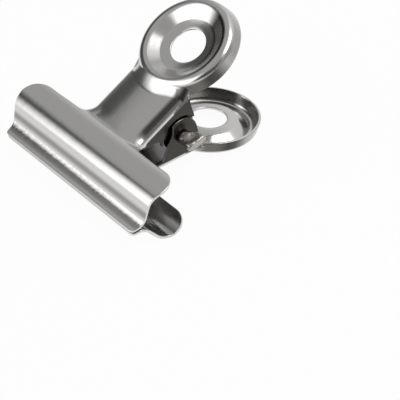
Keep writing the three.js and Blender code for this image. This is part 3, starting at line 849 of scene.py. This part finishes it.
bright_plate, tree = new_material("bright_plate")
spot = node(tree, "ShaderNodeTexCoord", {}, {}, "Object")
painted_dark = node(tree, "ShaderNodeAttribute", {"attribute_name": "painted_shade"}, {}, "Fac")
place = node(tree, "ShaderNodeAttribute", {"attribute_name": "place"}, {}, "Vector")
ripple = noise(spot, 160.0, 2.0)
haze = noise(spot, 90.0, 4.0)
grit = noise(spot, 2500.0, 3.0)
rough = 0.1 + 0.08 * haze + 0.05 * grit + 0.1 * painted_dark
stretched = {0: place, 1: (1.0, 0.3, 0.7)}
drawn = node(tree, "ShaderNodeVectorMath", {"operation": "MULTIPLY"}, stretched)
draw_marks = noise(drawn, 1.1, 3.0, 0.6)
in_groove = node(tree, "ShaderNodeSeparateXYZ", {}, {0: place}, "Z").band(1.6, 6.0, 1.6)
relief = ripple * 0.5 + draw_marks * (0.15 + 1.2 * in_groove)
bumped = bump(relief, 0.5, 0.00012)
# Painted shade: the plated colour turns dark where the mask says.
plating_and_shade = blend(painted_dark, BRIGHT_PLATING, SHADE_PAINT)
finish_material(tree, metal(plating_and_shade, rough, bumped))


def add_piece(name, mesh, material, body, cad_node, turn=Matrix.Identity(4)):
    """Puts a mesh in its place in the frame, on its body."""
    mesh.transform(to_frame @ turn)
    mesh.materials.clear()
    mesh.materials.append(material)
    thing = bpy.data.objects.new(name, mesh)
    bpy.context.scene.collection.objects.link(thing)
    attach(thing, body)
    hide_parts(cad_node)
    return thing


half_turn = Matrix.Rotation(math.pi, 4, "Z")
front_mesh, back_mesh = lever_mesh(True), lever_mesh(False)
mark_sheet(front_mesh)
mark_sheet(back_mesh)
front = add_piece(
    "front_pressing", front_mesh, bright_plate, "front", "front_lever", half_turn
)
back = add_piece("back_pressing", back_mesh, bright_plate, "back", "back_lever")
smooth(front, 32)
smooth(back, 32)

# ------------------------------------------------------------------ Hinge pin
# A soft steel pin through all four ears. Each end was pinched flat in a press once it was in
# place, which left a lumpy tail that can't slip back.

PIN_RADIUS = 1.8
PIN_SIDES = 48
TAIL_START = 12.3
TAIL_SHIFT = 0.8  # the tails were pushed this far towards the rings, within TAIL_RUN
TAIL_RUN = 2


def pin_station(x, half_z, half_y, squareness):
    """One section of the pin, round at squareness 2 and boxier above it."""
    section = []
    shift = TAIL_SHIFT * min(max((abs(x) - TAIL_START) / TAIL_RUN, 0.0), 1.0)
    power = 2 / squareness
    for k in range(PIN_SIDES):
        a = 2 * math.pi * k / PIN_SIDES
        cosine, sine = math.cos(a), math.sin(a)
        y = half_y * math.copysign(abs(cosine) ** power, cosine)
        z = half_z * math.copysign(abs(sine) ** power, sine)
        section.append(Vector((x, OFFSET + y, PIVOT + z + shift)))
    return section


# From the middle to one end: place along the pin, half height, half depth and squareness.
half_pin = [
    (0.0, PIN_RADIUS, PIN_RADIUS, 2.0),
    (11.0, PIN_RADIUS, PIN_RADIUS, 2.0),
    (11.55, PIN_RADIUS, PIN_RADIUS, 2.0),
    (11.75, 2.02, 1.84, 2.0),
    (12.1, 2.18, 1.86, 2.1),
    (12.6, 2.25, 1.8, 2.2),
    (13.1, 2.32, 1.62, 2.4),
    (13.7, 2.5, 1.38, 2.8),
    (14.4, 2.85, 1.24, 3.6),
    (15.2, 3.05, 1.16, 4.0),
    (16.3, 3.1, 1.18, 4.0),
    (16.8, 3.02, 1.12, 3.8),
    (17.05, 2.82, 0.96, 3.4),
    (17.15, 2.5, 0.75, 3.0),
]
stations = [(-row[0], *row[1:]) for row in half_pin[:0:-1]] + half_pin
pin_mesh = mesh_of([pin_station(*row) for row in stations], "pin", caps="face")

DARK_STEEL = (0.4, 0.37, 0.34, 1)
WORN_STEEL = (0.56, 0.53, 0.49, 1)

pinched_steel, tree = new_material("pinched_steel")
spot = node(tree, "ShaderNodeTexCoord", {}, {}, "Object")
lumps = noise(spot, 420.0, 1.0)
scrapes = noise(spot, 2600.0, 3.0, 0.7)
along_pin = node(tree, "ShaderNodeSeparateXYZ", {}, {0: spot}, "X")
pinched = abs(along_pin).ramp(0.0112, 0.0122)
dents = pinched * (lumps + 0.05 * scrapes)
lumpy = bump(dents, 0.8, 0.0005)
tint = blend(scrapes.ramp(0.45, 0.7), DARK_STEEL, WORN_STEEL)
finish_material(tree, metal(tint, 0.2 + 0.15 * scrapes, lumpy))
pin = add_piece("pinched_pin", pin_mesh, pinched_steel, "back", "hinge_pin")
smooth(pin, 50)

# ------------------------------------------------------------------ Spring
# One steel wire, wound cold: a leg under the back lever, a coil round the pin, a leg and a bridge
# under the front lever, and the same again on the other side. The pin and the levers hold it.

WIRE = 1.2
WIRE_GAP = 0.3
COIL_RADIUS = PIN_RADIUS + WIRE_GAP + WIRE / 2
COIL_PITCH = 1.7
COIL_OUTSIDE = EAR_IN - SEAT_ROOM - WIRE_GAP - WIRE / 2
COIL_TURNS = 4
LEG_BEND = 2
LEG_LEAN = math.radians(75)
BRIDGE_BEND = 1.6
WOUND = 2 * math.pi * COIL_TURNS - math.pi - 2 * LEG_LEAN  # radians from leg to leg


def leg(side, x):
    """From the coil's side to the foot that lies along a lever's inner face."""
    start_y = OFFSET + side * COIL_RADIUS * math.cos(LEG_LEAN)
    start = Vector((start_y, PIVOT - COIL_RADIUS * math.sin(LEG_LEAN)))
    stand_off = (SHEET + WIRE_GAP + WIRE / 2) / math.cos(NECK_LEAN)
    across = (x + WIRE / 2 - NECK_HALF + SHOULDER_WIDTH) / SHOULDER_WIDTH
    drop = SHOULDER_DEPTH * (1 - (1 - across**SHOULDER_POWER) ** (1 / SHOULDER_POWER))
    wall = face_at(start.y) - drop - stand_off - side * start.x
    run = wall / (math.sin(LEG_LEAN) - math.cos(LEG_LEAN) * math.tan(NECK_LEAN))
    corner = start + Vector((side * math.sin(LEG_LEAN), math.cos(LEG_LEAN))) * run
    set_back = LEG_BEND * math.tan((LEG_LEAN - NECK_LEAN) / 2)

    def towards(distance, angle):
        return corner + Vector((side * math.sin(angle), math.cos(angle))) * distance

    enter, leave = towards(-set_back, LEG_LEAN), towards(set_back, NECK_LEAN)
    bend = [enter.lerp(corner, t).lerp(corner.lerp(leave, t), t) for t in np.linspace(0, 1, 13)]
    return [Vector((x, p.x, p.y)) for p in [start] + bend + [towards(set_back + 1, NECK_LEAN)]]


def coil():
    """The coil's turns, counted in radians from the back leg."""
    points = []
    for turn in np.arange(0, WOUND + 0.01, math.radians(7.5)):
        a = -LEG_LEAN - turn
        x = COIL_OUTSIDE - COIL_PITCH * turn / (2 * math.pi)
        y, z = OFFSET + COIL_RADIUS * math.cos(a), PIVOT + COIL_RADIUS * math.sin(a)
        points.append(Vector((x, y, z)))
    return points


wire_tree = bpy.data.node_groups.new("wire_along_path", "GeometryNodeTree")
wire_inputs = {"Path": "Geometry", "Wire radius": "Float", "Sides": "Int", "Wire": "Material"}
for name, kind in wire_inputs.items():
    wire_tree.interface.new_socket(name, in_out="INPUT", socket_type=f"NodeSocket{kind}")
wire_tree.interface.new_socket("Spring", in_out="OUTPUT", socket_type="NodeSocketGeometry")
given = wire_tree.nodes.new("NodeGroupInput")
to_curve = wire_tree.nodes.new("GeometryNodeMeshToCurve")
section = wire_tree.nodes.new("GeometryNodeCurvePrimitiveCircle")
along = wire_tree.nodes.new("GeometryNodeCurveToMesh")
along.inputs["Fill Caps"].default_value = True
realize = wire_tree.nodes.new("GeometryNodeRealizeInstances")
painted = wire_tree.nodes.new("GeometryNodeSetMaterial")
result = wire_tree.nodes.new("NodeGroupOutput")
for source, leaving, target, entering in (
    (given, "Path", to_curve, "Mesh"),
    (given, "Wire radius", section, "Radius"),
    (given, "Sides", section, "Resolution"),
    (to_curve, "Curve", along, "Curve"),
    (section, "Curve", along, "Profile Curve"),
    (along, "Mesh", realize, "Geometry"),
    (realize, "Geometry", painted, "Geometry"),
    (given, "Wire", painted, "Material"),
    (painted, "Geometry", result, "Spring"),
):
    wire_tree.links.new(source.outputs[leaving], target.inputs[entering])

SPRING_STEEL = (0.34, 0.33, 0.31, 1)

spring_wire, tree = new_material("spring_wire")
spot = node(tree, "ShaderNodeTexCoord", {}, {}, "Object")
drawn = noise(spot, 1400.0, 3.0)
finish_material(tree, metal(SPRING_STEEL, 0.24 + 0.14 * drawn, bump(drawn, 0.4, 0.00004)))


def wire_mesh(paths, radius, name):
    """Solid wire along each path, as one mesh in the clip's own millimetres."""
    points, steps = [], []
    for path in paths:
        steps += [(len(points) + k, len(points) + k + 1) for k in range(len(path) - 1)]
        points += path
    route = bpy.data.meshes.new(name)
    route.from_pydata(points, steps, [])
    thing = bpy.data.objects.new(name, route)
    bpy.context.scene.collection.objects.link(thing)
    change = thing.modifiers.new("wire", "NODES")
    change.node_group = wire_tree
    values = {"Wire radius": radius, "Sides": 20, "Wire": spring_wire}
    for item in wire_tree.interface.items_tree:
        if item.name in values:
            change[item.identifier] = values[item.name]
    made = evaluated_mesh(thing)
    bpy.data.objects.remove(thing)
    return made


back_part = leg(1, COIL_OUTSIDE)[:0:-1] + coil()
front_leg = leg(-1, back_part[-1].x)
foot, before = front_leg[-1], front_leg[-2]
ahead = (foot - before).normalized()
bridge = [
    foot + Vector((-BRIDGE_BEND * (1 - math.cos(a)), 0, 0)) + ahead * BRIDGE_BEND * math.sin(a)
    for a in np.linspace(0.1, math.pi / 2, 12)
]
front_part = front_leg + bridge
coils = wire_mesh([back_part, flipped(back_part)], WIRE / 2, "spring_coils")
bridge_legs = wire_mesh([front_part + flipped(front_part)[::-1]], WIRE / 2, "spring_bridge")
coils = add_piece("spring_coils", coils, spring_wire, "back", "torsion_spring")
bridge_legs = add_piece(
    "spring_bridge", bridge_legs, spring_wire, "front", "torsion_spring"
)
for thing in (coils, bridge_legs):
    thing.data.shade_smooth()
